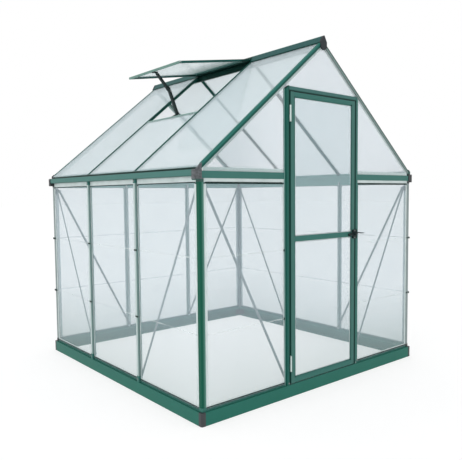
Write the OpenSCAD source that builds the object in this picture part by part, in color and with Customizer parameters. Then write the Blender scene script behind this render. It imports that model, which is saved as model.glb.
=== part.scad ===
// Small walk-in polycarbonate greenhouse: grooved aluminium bars, clear wall sheets,
// twin-wall roof sheets, a hinged front door and a propped roof vent.
// X runs across the gable, the door gable faces -Y, and Z is up from the ground.

/* [Overall size] */
// Width of the base ring across the gable
base_w = 1850; // [1700:10:2050]
// Length of the base ring from gable to gable
base_l = 1860; // [1700:10:2400]
// Height of the roof's outer plane above the wall plane
eave_h = 1306; // [1200:1:1500]
// Height where the two roof planes meet
apex_h = 2058; // [1950:1:2200]

/* [Base] */
// Height of the folded steel base channel
base_h = 70; // [50:1:90]
// Steel thickness
base_t = 2; // [1:0.5:3]
// Width of the channel's top and bottom flanges
base_flange = 38; // [32:1:50]
// Reach of each plastic corner piece along the base
corner_leg = 26; // [20:1:32]
// Height of the plastic foot round each corner post
foot_h = 20; // [14:1:40]
// Step from the base's outer face in to the wall plane
wall_inset = 13; // [8:1:18]

/* [Bars] */
// Wall thickness of the extruded profiles
skin = 1.6; // [1.2:0.1:2.4]
// Depth of the wall bars, from the wall plane in
bar_depth = 16; // [15:1:22]
// Width of a stud's hollow outer box
stud_w = 20; // [18:1:26]
// How far that box stands out from the wall plane
stud_proud = 11; // [6:1:11]
// Height of the shoe at each end of a stud
shoe_h = 36; // [24:1:44]
// Width of a roof bar's crowned cap
bar_cap = 24; // [20:1:30]
// Rise of that crown
cap_rise = 3; // [2:0.5:4]
// Depth of a roof bar, from the roof plane in
roof_bar_depth = 18; // [17:1:24]
// Width of each face of a corner post
corner_face = 26; // [24:1:32]
// Width of a gable rafter's roof face
rake_cap = 18; // [14:1:30]
// Height of a gable rafter's gable face
rake_face = 21; // [18:1:28]
// Reach of a gable rafter's inner lip below the roof plane
rake_lip = 36; // [32:1:44]
// Face height of the gable ties
beam_face = 36; // [30:1:44]
// How far a seat flange shows beyond its cap
seat_lip = 20; // [10:1:24]
// Distance of the intermediate bars from the centre line
bay_half = 303; // [270:1:340]
// Overhang of the gutter outside the wall plane
gutter_out = 25; // [23:1:32]
// Height of the gutter's front
gutter_h = 32; // [24:1:36]
// Height of the gutter's underside above the foot of the gable ties' faces
gutter_lift = 10; // [4:1:12]
// Overhang of the roof sheets outside the wall plane
roof_over = 2; // [1:1:8]

/* [Sheets] */
// Thickness of the clear wall sheets
wall_sheet_t = 3; // [2:0.5:4]
// Thickness of the twin-wall roof sheets
roof_sheet_t = 4; // [3:0.5:6]
// Room beside a sheet in its groove
glaze_gap = 1; // [0.5:0.5:2]
// Distance from a sheet's edge to the groove's floor
edge_gap = 3; // [2:0.5:5]
// Height from one stacked wall sheet to the next
row_pitch = 388; // [350:1:420]
// Gap between stacked sheets
row_gap = 2; // [1:0.5:4]

/* [Door] */
// Width of the door leaf
door_w = 576; // [540:2:620]
// Drop of the leaf's top edge below the roof plane at the jambs' outer edges
door_drop = 62; // [60:1:120]
// Running gap all round the leaf
door_gap = 6; // [5:0.5:8]
// Depth of the leaf
door_t = 20; // [16:1:21]
// How far the leaf and its frame stand out from the wall plane
door_proud = 12; // [6:1:13]
// Face width of a door stile
stile_w = 32; // [28:1:44]
// Face width of a jamb
jamb_w = 30; // [26:1:34]
// Height of the mid rail's centre above the ground
mid_rail_h = 907; // [800:1:1000]
// Height of each hinge
hinge_h = 90; // [70:1:110]

/* [Roof vent] */
// Length of the vent down the slope
vent_len = 588; // [450:1:620]
// Dip of the propped vent below level, in degrees
vent_dip = 9.3; // [0:0.1:20]
// Width of the vent's frame bars
vent_bar = 15; // [12:1:20]
// Thickness of the vent's frame
vent_t = 14; // [12:1:18]

/* [Hidden] */
$fn = 48;

green = [0.19, 0.42, 0.36];
pale = [0.66, 0.71, 0.73];
dark = [0.24, 0.27, 0.30];
black = [0.08, 0.09, 0.10];
clear = [0.86, 0.90, 0.93, 0.35];

// Wall planes, and the groove levels measured inward from an outer face
wall_x = base_w / 2 - wall_inset;
wall_y = base_l / 2 - wall_inset;
wall_seat = skin + wall_sheet_t + glaze_gap;
roof_seat = skin + roof_sheet_t + glaze_gap;
sheet_ease = 0.03;
pitch = atan((apex_h - eave_h) / wall_x);
cap_half = bar_cap / 2;
roof_seat_half = cap_half - 3;
wall_seat_half = 13;
chan_half = 8;
chan_depth = 8;
chan_slot = 7;
edge_r = 2.5;
post_r = 5;
post_reach = max(corner_face, bar_depth);
rake_reach = max(rake_cap, bar_depth);
big = 3 * (base_w + base_l);

// Heights of the beam faces under the eave
face_top = eave_h - 26;
face_low = face_top - beam_face;
lip_low = face_low - seat_lip;
beam_mid = face_low + beam_face / 2;
gutter_low = face_low + gutter_lift;
flange_half = 10;
sill_lip = base_h + 8;
sill_seat = sill_lip + 8;
sheet_low = base_h + skin;
sheet_high = beam_mid - skin / 2 - edge_gap;

// Eave corners: reach along the gable, reach along the eave, and the proud end
joint_x = 14;
joint_y = post_reach;
joint_out = 4;
joint_collar = 18;
joint_drop = 10;

// Door frame lines
leaf_half = door_w / 2;
frame_half = leaf_half + door_gap;
jamb_out = frame_half + jamb_w;
jamb_fin = 8;
jamb_box = jamb_out - jamb_fin;
jamb_cut = rake_lip + 6;
door_top = apex_h - jamb_out * tan(pitch) - door_drop;
head_low = door_top + door_gap;
head_top = head_low + 22;
head_box = head_low + 12;
leaf_low = base_h + door_gap + 1;
leaf_front = -wall_y - door_proud;
stop_reach = 14;
head_stop = 10;
rail_h = 26;
rail_fin = 12;
hinge_r = 5;
pin_r = 3;
pin_gap = 0.1;
hinge_x = -(leaf_half + door_gap / 2);
hinge_y = leaf_front - hinge_r;
hinge_z = [leaf_low + 73, door_top - 166];
lock_half = 13.5;
lock_x = leaf_half - lock_half - 1;
lock_h = 56;
lock_t = 12;
hub_r = 10;
hub_t = 8;
spindle_r = 4;
lever_len = 81;
lever_rise = 13;
lever_tip = 4;

// Ridge and vent
ridge_rise = 23;
cap_reach = 7;
ridge_t = 2;
crown_r = 8;
skirt_x = 25;
skirt_h = 6;
ridge_seat = 40;
spine_drop = 50;
sheet_start = 14;
sill_s = vent_len + 6;
vent_x = 18;
vent_z = apex_h + 5;

// Braces and their brackets
brace_w = 15;
brace_t = 2;
brace_in = 47;
brace_high = face_low - 50;
brace_low = base_h + 34;
ear_t = 3;
ear_h = 46;

// Height of the roof plane, lowered along its normal, at a distance from the centre
function roof_z(x, depth = 0) = apex_h - x * tan(pitch) - depth / cos(pitch);

// Points of a gable-wise plane: along and above the roof slope, or along and above the vent
function slope_point(s, n) = [s * cos(pitch) + n * sin(pitch), apex_h - s * sin(pitch) + n * cos(pitch)];
function vent_point(s, n) =
    [vent_x + s * cos(vent_dip) + n * sin(vent_dip), vent_z - s * sin(vent_dip) + n * cos(vent_dip)];

// Where a line from a point touches a circle, on the side that lies anticlockwise
function touch_point(centre, r, from) =
    let(run = from - centre, a = atan2(run[1], run[0]) + acos(r / norm(run))) centre + r * [cos(a), sin(a)];

// ---- Placing helpers ----

// Puts a piece drawn along X with its depth in +Y onto one of the four walls
module on_wall(side) {
    if (side == "front") translate([0, -wall_y, 0]) children();
    if (side == "back") translate([0, wall_y, 0]) rotate(180) children();
    if (side == "left") translate([-wall_x, 0, 0]) rotate(-90) children();
    if (side == "right") translate([wall_x, 0, 0]) rotate(90) children();
}

// Extrudes a depth and height outline along the wall between two places
module along(a, b) {
    translate([a, 0, 0]) rotate([90, 0, 90]) linear_extrude(b - a) children();
}

// Extrudes a plan outline between two heights
module upright(a, b) {
    translate([0, 0, a]) linear_extrude(b - a) children();
}

// A rectangle between two corners
module rect(a, b) {
    translate(a) square(b - a);
}

// A rectangle whose two low corners are rounded
module rounded(a, b, r) {
    rect([a[0] + r, a[1]], [b[0] - r, b[1]]);
    rect([a[0], a[1] + r], b);
    for (x = [a[0] + r, b[0] - r]) translate([x, a[1] + r]) circle(r);
}

// A rectangle with all four corners rounded
module rounded_all(a, b, r) {
    rect([a[0] + r, a[1]], [b[0] - r, b[1]]);
    rect([a[0], a[1] + r], [b[0], b[1] - r]);
    for (x = [a[0] + r, b[0] - r], y = [a[1] + r, b[1] - r]) translate([x, y]) circle(r);
}

// An angle of two equal-thickness legs from a rounded corner at the origin
module angle_section(leg_a, leg_b, thick, r) {
    rect([r, 0], [leg_a, thick]);
    rect([0, r], [thick, leg_b]);
    difference() {
        translate([r, r]) circle(r);
        translate([r, r]) circle(r - thick);
        rect([r, -1], [2 * r + 1, 2 * r + 1]);
        rect([-1, r], [r + 1, 2 * r + 1]);
    }
}

// Extrudes a width and height outline from one depth to another, depth growing towards +Y
module slab(y0, y1) {
    translate([0, y1, 0]) rotate([90, 0, 0]) linear_extrude(y1 - y0) children();
}

// A block between two corners
module block(a, b) {
    translate(a) cube(b - a);
}

// Keeps what lies between two distances from the centre line on the right half
module between_x(a, b) {
    intersection() {
        children();
        block([a, -big, -big], [b, big, big]);
    }
}

// Turns the right slope's frame: X runs down the slope, Z out of the roof
module on_slope() {
    translate([0, 0, apex_h]) rotate([0, pitch, 0]) children();
}

module both_x() {
    children();
    mirror([1, 0, 0]) children();
}

module both_y() {
    children();
    mirror([0, 1, 0]) children();
}

// ---- Profiles ----

// Folded base channel as depth and height, open inward, with return lips
module base_section() {
    return_h = 9;
    rect([0, 0], [base_t, base_h]);
    rect([0, 0], [base_flange, base_t]);
    rect([0, base_h - base_t], [base_flange, base_h]);
    rect([base_flange - base_t, 0], [base_flange, return_h]);
    rect([base_flange - base_t, base_h - return_h], [base_flange, base_h]);
}

// Sill: foot, low outer lip, tall seat flange and a back leg
module sill_section() {
    rect([0, base_h], [bar_depth, sheet_low]);
    rect([0, base_h], [skin, sill_lip]);
    rect([wall_seat, base_h], [wall_seat + skin, sill_seat]);
    rect([bar_depth - skin, base_h], [bar_depth, sill_lip + 4]);
}

// Stud parts as width and depth: the outer box, open where the sill and beam close it
module stud_box_section() {
    difference() {
        rounded([-stud_w / 2, -stud_proud], [stud_w / 2, 0], edge_r);
        rect([skin - stud_w / 2, skin - stud_proud], [stud_w / 2 - skin, 1]);
    }
}

// Roof bar's crowned cap as width and depth
module bar_cap_section() {
    r = (cap_half * cap_half + cap_rise * cap_rise) / (2 * cap_rise);
    intersection() {
        translate([0, r + skin - cap_rise]) difference() {
            circle(r, $fn = 96);
            circle(r - skin, $fn = 96);
        }
        rect([-cap_half, -cap_rise], [cap_half, skin]);
    }
}

// Web and seat flanges that carry the sheets
module bar_core_section(seat, half_w, depth) {
    rect([-skin / 2, 0], [skin / 2, depth - 1]);
    rect([-half_w, seat], [half_w, seat + skin]);
}

// Bolt channel, open inward between two lips
module bar_channel_section(depth) {
    difference() {
        rect([-chan_half, depth - chan_depth], [chan_half, depth]);
        rect([skin - chan_half, depth - chan_depth + skin], [chan_half - skin, depth - skin]);
        rect([-chan_slot / 2, depth - skin - 1], [chan_slot / 2, depth + 1]);
    }
}

// Corner bar: a rounded outer angle, a square tube and the web between them
module corner_section(seat_a, seat_b, face_a, face_b, depth_a, depth_b) {
    angle_section(face_a, face_b, skin, post_r);
    rect([skin, skin], [seat_a + skin, seat_b + skin]);
    difference() {
        rect([seat_a, seat_b], [depth_a, depth_b]);
        rect([seat_a + skin, seat_b + skin], [depth_a - skin, depth_b - skin]);
    }
}

// Gable tie's face and web, then its long seat flange and back flange
module tie_face_section() {
    rect([0, face_low], [skin, face_top]);
    rect([0, beam_mid - skin / 2], [wall_seat + skin, beam_mid + skin / 2]);
}

module tie_seat_section() {
    rect([0, beam_mid - skin / 2], [bar_depth, beam_mid + skin / 2]);
    rect([wall_seat, lip_low], [wall_seat + skin, face_top + seat_lip]);
    rect([bar_depth - skin, beam_mid - flange_half], [bar_depth, beam_mid + flange_half]);
}

// Eave beam: round-bottomed gutter outside, wall groove below, roof seat on top
module eave_section() {
    seat_z = roof_z(wall_x, roof_seat);
    seat_d = 16;
    bead_r = 2.2;
    strip = skin / cos(pitch);
    translate([-gutter_out, gutter_low]) angle_section(gutter_out + skin, gutter_h, skin, 7);
    translate([bead_r - gutter_out, gutter_low + gutter_h - 1]) circle(bead_r);
    rect([wall_seat, lip_low], [wall_seat + skin, beam_mid]);
    rect([0, beam_mid - skin / 2], [bar_depth, beam_mid + skin / 2]);
    rect([bar_depth - skin, beam_mid - flange_half], [bar_depth, beam_mid + skin / 2]);
    polygon([
        [0, gutter_low], [skin, gutter_low], [skin, seat_z + skin * tan(pitch) - strip],
        [seat_d, seat_z + seat_d * tan(pitch) - strip], [seat_d, seat_z + seat_d * tan(pitch)],
        [0, seat_z]
    ]);
}

// Header as depth and height: hollow box, raised front, fins for the top sheet, stop
module header_section() {
    difference() {
        rect([-door_proud, head_low], [bar_depth, head_box]);
        rect([skin - door_proud, head_low + skin], [bar_depth - skin, head_box - skin]);
    }
    rect([-door_proud, head_low], [skin - door_proud, head_top]);
    rect([-door_proud, head_top - skin], [skin, head_top]);
    rect([0, head_box - skin], [skin, head_top]);
    rect([wall_seat, head_box - skin], [wall_seat + skin, head_top + 3]);
    rect([bar_depth - skin, head_low - head_stop], [bar_depth, head_low]);
}

// Door bar: hollow edge box with a rounded outer edge and a grooved fin pair inside
module door_bar_section(face) {
    box_w = face - rail_fin;
    difference() {
        union() {
            rect([0, edge_r], [box_w, door_t]);
            rect([edge_r, 0], [box_w, door_t]);
            translate([edge_r, edge_r]) circle(edge_r);
        }
        rect([skin, skin], [box_w - skin, door_t - skin]);
    }
    rect([box_w, 0], [face, skin]);
    rect([box_w, wall_seat], [face, wall_seat + skin]);
}

// Vent frame bar: a slim channel open inward for the vent sheet, its outer edge rounded
module vent_bar_section() {
    slot = roof_sheet_t + glaze_gap;
    difference() {
        union() {
            rect([0, -vent_t], [vent_bar, -edge_r]);
            rect([edge_r, -vent_t], [vent_bar, 0]);
            translate([edge_r, -edge_r]) circle(edge_r);
        }
        rect([skin, -skin - slot], [vent_bar + 1, -skin]);
        rect([skin, skin - vent_t], [vent_bar - skin, -2 * skin - slot]);
    }
}

// Ridge outline: a round crown, sloping sides and upright skirts down to a height
module ridge_outline(inset, low) {
    r = crown_r - inset;
    centre = [0, apex_h + ridge_rise - crown_r];
    hip = [skirt_x - inset, roof_z(skirt_x) + skirt_h];
    touch = touch_point(centre, r, hip);
    translate(centre) circle(r);
    polygon([[-touch[0], touch[1]], [-hip[0], hip[1]], [-hip[0], low], [hip[0], low], hip, touch]);
}

// Ridge: hollow cap, a spine with a foot flange, and a sheet seat down each slope
module ridge_section() {
    low = roof_z(skirt_x);
    difference() {
        ridge_outline(0, low);
        ridge_outline(ridge_t, low - 1);
    }
    rect([-1, apex_h - spine_drop], [1, apex_h + ridge_rise - 1]);
    rect([-8, apex_h - spine_drop], [8, apex_h - spine_drop + ridge_t]);
    outer = slope_point(ridge_seat, -roof_seat);
    inner = slope_point(ridge_seat, -roof_seat - skin);
    polygon([
        [0, roof_z(0, roof_seat + skin)], inner, outer, [0, roof_z(0, roof_seat)],
        [-outer[0], outer[1]], [-inner[0], inner[1]]
    ]);
}

// ---- Base ----

// One base side, mitred inside and stopping short for the plastic corners
module base_side(side, length) {
    end = length / 2;
    color(green) on_wall(side) translate([0, -wall_inset, 0]) intersection() {
        along(-end, end) base_section();
        upright(-1, base_h + 1) polygon([
            [corner_leg - end, -1], [end - corner_leg, -1], [end - corner_leg, corner_leg],
            [end - base_flange - 1, base_flange + 1], [base_flange + 1 - end, base_flange + 1],
            [corner_leg - end, corner_leg]
        ]);
    }
}

module base_front() {
    base_side("front", base_w);
}

module base_back() {
    base_side("back", base_w);
}

module base_sides() {
    base_side("left", base_l);
    base_side("right", base_l);
}

// Rounded plastic corner that plugs behind both base channels and cups the post's foot
module base_corners() {
    round_r = 10;
    wall = base_t + 4;
    tongue = corner_leg + 30;
    cup = 2;
    module plan() {
        rect([round_r, 0], [corner_leg, corner_leg]);
        rect([0, round_r], [corner_leg, corner_leg]);
        translate([round_r, round_r]) circle(round_r);
    }
    color(dark) both_x() both_y() translate([-base_w / 2, -base_l / 2, 0]) {
        upright(0, base_h) difference() {
            plan();
            rect([wall, wall], [corner_leg + 1, corner_leg + 1]);
        }
        upright(base_h - 3, base_h) plan();
        upright(base_t, base_h - base_t) {
            rect([corner_leg - 1, base_t], [tongue, base_t + 3]);
            rect([base_t, corner_leg - 1], [base_t + 3, tongue]);
        }
        translate([wall_inset - cup, wall_inset - cup]) upright(base_h, base_h + foot_h)
            angle_section(corner_face + cup, corner_face + cup, cup, post_r + cup);
    }
}

// ---- Sills, posts and studs ----

module side_sills() {
    reach = wall_y - post_reach;
    color(green) for (side = ["left", "right"]) on_wall(side) along(-reach, reach) sill_section();
}

module sill_back() {
    reach = wall_x - post_reach;
    color(green) on_wall("back") along(-reach, reach) sill_section();
}

// Two short sills and the flat threshold plate between the jambs
module sill_front() {
    reach = wall_x - post_reach;
    color(green) on_wall("front") {
        both_x() along(jamb_out, reach) sill_section();
        block([-frame_half, -door_proud, base_h], [frame_half, bar_depth, base_h + skin]);
    }
}

module corner_posts() {
    color(pale) both_x() both_y() translate([-wall_x, -wall_y, 0])
        upright(base_h, face_low)
            corner_section(wall_seat, wall_seat, corner_face, corner_face, bar_depth, bar_depth);
}

// One stud whose box, core and channel each stop where they meet sill and beam
module stud(head) {
    upright(base_h + skin, head - skin) stud_box_section();
    upright(sill_lip, head) rect([-stud_w / 2, 0], [stud_w / 2, skin]);
    upright(sill_seat, lip_low) bar_core_section(wall_seat, wall_seat_half, bar_depth - chan_depth + skin);
    upright(sill_lip + 4, beam_mid - flange_half) bar_channel_section(bar_depth);
}

module at_studs(side) {
    on_wall(side) for (u = [-bay_half, bay_half]) translate([u, 0, 0]) children();
}

module wall_studs() {
    color(pale) {
        at_studs("left") stud(gutter_low);
        at_studs("right") stud(gutter_low);
        at_studs("back") stud(face_low);
    }
}

// Shoes that close each stud's box on the base and under the eave
module stud_shoes() {
    module shoe(closed, open) {
        wide = stud_w / 2 + skin;
        upright(min(closed, open), max(closed, open)) difference() {
            rounded([-wide, -stud_proud - skin], [wide, 0], edge_r + skin);
            rect([-stud_w / 2, -stud_proud], [stud_w / 2, 1]);
        }
        end = closed < open ? closed : closed - skin;
        upright(end, end + skin) rounded([-wide, -stud_proud - skin], [wide, 0], edge_r + skin);
    }
    module pair(head) {
        shoe(base_h, base_h + shoe_h);
        shoe(head, head - shoe_h * 0.6);
    }
    color(green) {
        at_studs("left") pair(gutter_low);
        at_studs("right") pair(gutter_low);
        at_studs("back") pair(face_low);
    }
}

// Cuts away, on the front wall, what rises above a depth below the roof plane
module below_rake(depth) {
    reach = 2 * jamb_out;
    difference() {
        children();
        slab(-big / 2, big / 2) polygon([
            [0, roof_z(0, depth)], [reach, roof_z(reach, depth)], [reach, apex_h + 1], [0, apex_h + 1]
        ]);
    }
}

// Jambs run up to the gable rafters: a hollow box, two fins for the sheet and a door stop
module door_jambs() {
    color(green) on_wall("front") both_x() {
        below_rake(jamb_cut) upright(base_h, apex_h) {
            difference() {
                rounded([frame_half, -door_proud], [jamb_box, bar_depth], edge_r);
                rect([frame_half + skin, skin - door_proud], [jamb_box - skin, bar_depth - skin]);
            }
            rect([jamb_box - skin, 0], [jamb_out, skin]);
        }
        below_rake(rake_lip) upright(base_h, apex_h)
            rect([jamb_box - skin, wall_seat], [jamb_out, wall_seat + skin]);
        upright(sheet_low, head_low - head_stop)
            rect([frame_half - stop_reach, bar_depth - skin], [frame_half, bar_depth]);
    }
}

module door_header() {
    color(green) on_wall("front") along(-frame_half, frame_half) header_section();
}

// ---- Eave level ----

module eave_beam(side) {
    reach = wall_y - joint_y;
    color(green) on_wall(side) along(-reach, reach) eave_section();
}

module eave_left() {
    eave_beam("left");
}

module eave_right() {
    eave_beam("right");
}

module gable_tie_front() {
    color(green) on_wall("front") both_x() {
        along(jamb_out, wall_x - joint_x) tie_face_section();
        along(jamb_out, wall_x - post_reach) tie_seat_section();
    }
}

module gable_tie_back() {
    color(green) on_wall("back") {
        along(joint_x - wall_x, wall_x - joint_x) tie_face_section();
        along(post_reach - wall_x, wall_x - post_reach) tie_seat_section();
    }
}

// Moulded joint that closes the gutter and carries the post, eave, tie and gable rafter
module eave_corner() {
    collar = 2;
    x0 = wall_x - joint_x;
    x1 = wall_x + gutter_out + 3;
    xc = wall_x + collar;
    xs = wall_x + roof_over + 1;
    high = gutter_low + gutter_h + 2;
    back = joint_y - wall_y;
    front_t = 10;
    round_r = 6;
    module outline(depth) {
        polygon([
            [x0, face_low], [xc, face_low], [xc, face_low - joint_drop], [x1 - 5, face_low - joint_drop],
            [x1, face_low - joint_drop + 5], [x1, high - 5], [x1 - 5, high], [xs, high],
            [xs, roof_z(xs, depth)], [x0, roof_z(x0, depth)]
        ]);
    }
    color(dark) {
        difference() {
            intersection() {
                union() {
                    slab(-wall_y, back) outline(roof_seat);
                    slab(-wall_y - joint_out, front_t - joint_out - wall_y) outline(-1.5);
                }
                translate([0, -wall_y - joint_out]) upright(face_low - joint_drop - 1, apex_h) {
                    rect([x0 - 1, 0], [x1 - round_r, joint_y + joint_out + 1]);
                    rect([x0 - 1, round_r], [x1, joint_y + joint_out + 1]);
                    translate([x1 - round_r, round_r]) circle(round_r);
                }
            }
            block([x0 - 1, skin - wall_y, face_low - 1], [wall_x - skin, wall_seat - wall_y, beam_mid]);
            block([wall_x - wall_seat, skin - wall_y, face_low - 1], [wall_x - skin, back + 1, beam_mid]);
        }
        translate([wall_x + collar, -wall_y - collar, 0]) mirror([1, 0, 0])
            upright(face_low - joint_collar, face_low + 1)
                angle_section(corner_face + collar, corner_face + collar, collar, post_r + collar);
    }
}

module eave_corners() {
    both_x() both_y() eave_corner();
}

// ---- Roof frame ----

// Extrudes a section down the right slope, its depth pointing into the roof
module down_slope(start) {
    on_slope() translate([start, 0, 0]) rotate([90, 0, 90]) linear_extrude(big / 6) mirror([0, 1]) children();
}

// Right-hand gable rafter at the front: a corner bar with a long lip behind the sheet
module gable_rafter() {
    start = -60;
    translate([0, -wall_y, 0]) between_x(0.1, wall_x - joint_x) {
        down_slope(start)
            corner_section(wall_seat, roof_seat, rake_cap, rake_face, bar_depth, roof_bar_depth);
        intersection() {
            down_slope(start) rect([wall_seat, roof_seat], [wall_seat + skin, rake_lip]);
            block([0, -big, face_top + seat_lip], [big, big, big]);
        }
    }
}

module gable_rafters_front() {
    color(green) both_x() gable_rafter();
}

module gable_rafters_back() {
    color(green) mirror([0, 1, 0]) both_x() gable_rafter();
}

// One roof bar on the right slope: the cap oversails the core at both ends
module roof_bar() {
    between_x(skirt_x + 1, wall_x + roof_over + 2) down_slope(-60) bar_cap_section();
    between_x(0, wall_x - 16) down_slope(ridge_seat) {
        bar_core_section(roof_seat, roof_seat_half, roof_bar_depth - chan_depth + skin);
        bar_channel_section(roof_bar_depth);
    }
}

module roof_bars() {
    color(green) both_x() both_y() translate([0, bay_half, 0]) roof_bar();
}

// The part of the ridge outline that stands above the roof planes
module ridge_crown() {
    low = roof_z(skirt_x);
    difference() {
        ridge_outline(0, low);
        polygon([
            [-2 * skirt_x, roof_z(2 * skirt_x)], [-2 * skirt_x, low - 1], [2 * skirt_x, low - 1],
            [2 * skirt_x, roof_z(2 * skirt_x)], [0, apex_h]
        ]);
    }
}

// The ridge's left skirt is cut away for the vent, which hangs from a beaded rail in the cut
module ridge_beam() {
    reach = wall_y - rake_reach;
    slot = bay_half + 2;
    bead_r = 3.5;
    color(green) {
        difference() {
            union() {
                slab(-reach, reach) ridge_section();
                both_y() slab(reach - 1, wall_y - cap_reach) ridge_crown();
            }
            on_vent() block([0, -slot, -46], [60, slot, ridge_rise + 10]);
        }
        on_vent() slab(-slot, slot) {
            rect([-4, 4 - vent_t], [0, 2]);
            translate([-bead_r - 0.2, 2]) circle(bead_r);
        }
    }
}

// End caps: the crown's outline over the rafters and a tapering plate over their mitre
module ridge_caps() {
    low = roof_z(skirt_x);
    plate_t = 8;
    plate_low = low - rake_face - 4;
    foot = 8;
    color(dark) both_y() {
        slab(-wall_y, cap_reach - wall_y) ridge_crown();
        slab(-wall_y - plate_t, -wall_y) {
            ridge_outline(0, low);
            polygon([
                [-skirt_x, low + skirt_h], [-skirt_x, plate_low], [-foot, plate_low - 14],
                [foot, plate_low - 14], [skirt_x, plate_low], [skirt_x, low + skirt_h]
            ]);
        }
    }
}

// ---- Sheets ----

// A column of stacked wall sheets between two places along a wall
module wall_bay(a, b) {
    for (i = [0:2]) {
        low = sheet_low + i * row_pitch;
        high = i < 2 ? low + row_pitch - row_gap : sheet_high;
        block([a, wall_seat - wall_sheet_t, low], [b, wall_seat, high]);
    }
}

module three_bays(reach) {
    edge = reach - wall_seat - edge_gap;
    inner = bay_half + skin / 2 + edge_gap;
    wall_bay(-edge, -inner);
    wall_bay(2 * (skin / 2 + edge_gap) - inner, inner - 2 * (skin / 2 + edge_gap));
    wall_bay(inner, edge);
}

module wall_sheets_left() {
    color(clear) on_wall("left") three_bays(wall_y);
}

module wall_sheets_right() {
    color(clear) on_wall("right") three_bays(wall_y);
}

module wall_sheets_back() {
    color(clear) on_wall("back") three_bays(wall_x);
}

module wall_sheets_front() {
    edge = wall_x - wall_seat - edge_gap;
    color(clear) on_wall("front") both_x() wall_bay(jamb_box + edge_gap, edge);
}

// A gable sheet with the given outline as width and height
module gable_sheet() {
    slab(wall_seat - wall_sheet_t, wall_seat) children();
}

module gable_sheets_front() {
    in_rake = roof_seat + edge_gap;
    low = beam_mid + skin / 2 + edge_gap;
    x0 = jamb_box + edge_gap;
    x1 = wall_x - post_reach - edge_gap;
    over = jamb_box + edge_gap - row_gap;
    color(clear) on_wall("front") {
        both_x() gable_sheet() polygon([
            [x0, low], [x1, low], [x1, roof_z(x1, in_rake)], [x0, roof_z(x0, in_rake)]
        ]);
        gable_sheet() polygon([
            [-frame_half, head_box + edge_gap], [frame_half, head_box + edge_gap],
            [frame_half, roof_z(frame_half, jamb_cut) + edge_gap], [over, roof_z(over, jamb_cut) + edge_gap],
            [over, roof_z(over, in_rake)], [0, roof_z(0, in_rake)], [-over, roof_z(over, in_rake)],
            [-over, roof_z(over, jamb_cut) + edge_gap], [-frame_half, roof_z(frame_half, jamb_cut) + edge_gap]
        ]);
    }
}

module gable_sheet_back() {
    in_rake = roof_seat + edge_gap;
    low = beam_mid + skin / 2 + edge_gap;
    x1 = wall_x - post_reach - edge_gap;
    color(clear) on_wall("back") gable_sheet() polygon([
        [-x1, low], [x1, low], [x1, roof_z(x1, in_rake)], [0, roof_z(0, in_rake)], [-x1, roof_z(x1, in_rake)]
    ]);
}

// A roof sheet on the right slope from one bar to the next
module roof_sheet(y0, y1, s0) {
    s1 = (wall_x + roof_over) / cos(pitch);
    on_slope() block([s0, y0, sheet_ease - roof_seat], [s1, y1, roof_sheet_t + sheet_ease - roof_seat]);
}

module roof_sheets_right() {
    edge = wall_y - wall_seat - edge_gap;
    step = skin / 2 + edge_gap;
    color(clear) {
        both_y() roof_sheet(bay_half + step, edge, sheet_start);
        roof_sheet(step - bay_half, bay_half - step, sheet_start);
    }
}

// On the left slope the middle sheet starts below the vent's sill
module roof_sheets_left() {
    edge = wall_y - wall_seat - edge_gap;
    step = skin / 2 + edge_gap;
    color(clear) mirror([1, 0, 0]) {
        both_y() roof_sheet(bay_half + step, edge, sheet_start);
        roof_sheet(step - bay_half, bay_half - step, sill_s + skin + edge_gap);
    }
}

// ---- Braces ----

// Flat bar with round ends between two points of a wall, on the bars' inner faces
module brace(a, b) {
    run = b - a;
    slab(bar_depth, bar_depth + brace_t) translate(a) rotate(atan2(run[1], run[0])) {
        circle(d = brace_w);
        translate([norm(run), 0]) circle(d = brace_w);
        rect([0, -brace_w / 2], [norm(run), brace_w / 2]);
    }
}

module wall_braces() {
    color(pale) {
        for (side = ["left", "right"]) on_wall(side)
            both_x() brace([wall_y - brace_in, brace_high], [bay_half, brace_low]);
        on_wall("back") both_x() brace([wall_x - brace_in, brace_high], [bay_half, brace_low]);
        on_wall("front") both_x()
            brace([wall_x - brace_in, brace_high], [(frame_half + jamb_box) / 2, brace_low]);
    }
}

// One ear of a bracket as distance from the corner and height: a tall root and a round end
module ear_outline() {
    tip = [brace_in, brace_high];
    root = [bar_depth, brace_high - ear_h / 2];
    touch = touch_point(tip, brace_w / 2 + 3, root);
    translate(tip) circle(brace_w / 2 + 3);
    polygon([root, touch, [touch[0], 2 * brace_high - touch[1]], [root[0], root[1] + ear_h]]);
}

// Folded brackets in the corners, to which the braces' upper ends are bolted
module brace_brackets() {
    color(pale) both_x() both_y() translate([-wall_x, -wall_y, 0]) {
        slab(bar_depth - ear_t, bar_depth) ear_outline();
        mirror([1, -1, 0]) slab(bar_depth - ear_t, bar_depth) ear_outline();
        upright(brace_high - ear_h / 2, brace_high + ear_h / 2)
            rect([bar_depth, bar_depth], [bar_depth + ear_t, bar_depth + ear_t]);
    }
}

// ---- Roof vent ----

// Frame of the propped vent: X runs from its hinge edge to its free edge
module on_vent() {
    mirror([1, 0, 0]) translate([vent_x, 0, vent_z]) rotate([0, vent_dip, 0]) children();
}

module vent_side_bars() {
    half_w = bay_half - 1;
    color(green) on_vent() both_y() translate([vent_bar, -half_w, 0])
        rotate([90, 0, 90]) linear_extrude(vent_len - 2 * vent_bar) vent_bar_section();
}

module vent_end_bars() {
    half_w = bay_half - 1;
    color(green) on_vent() {
        slab(-half_w, half_w) vent_bar_section();
        translate([vent_len, -half_w, 0]) rotate([90, 0, 180]) linear_extrude(2 * half_w) vent_bar_section();
    }
}

module vent_sheet() {
    inset = skin + edge_gap;
    half_w = bay_half - 1 - inset;
    low = -skin - roof_sheet_t - glaze_gap;
    color(clear) on_vent() block([inset, -half_w, low], [vent_len - inset, half_w, low + roof_sheet_t]);
}

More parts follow.
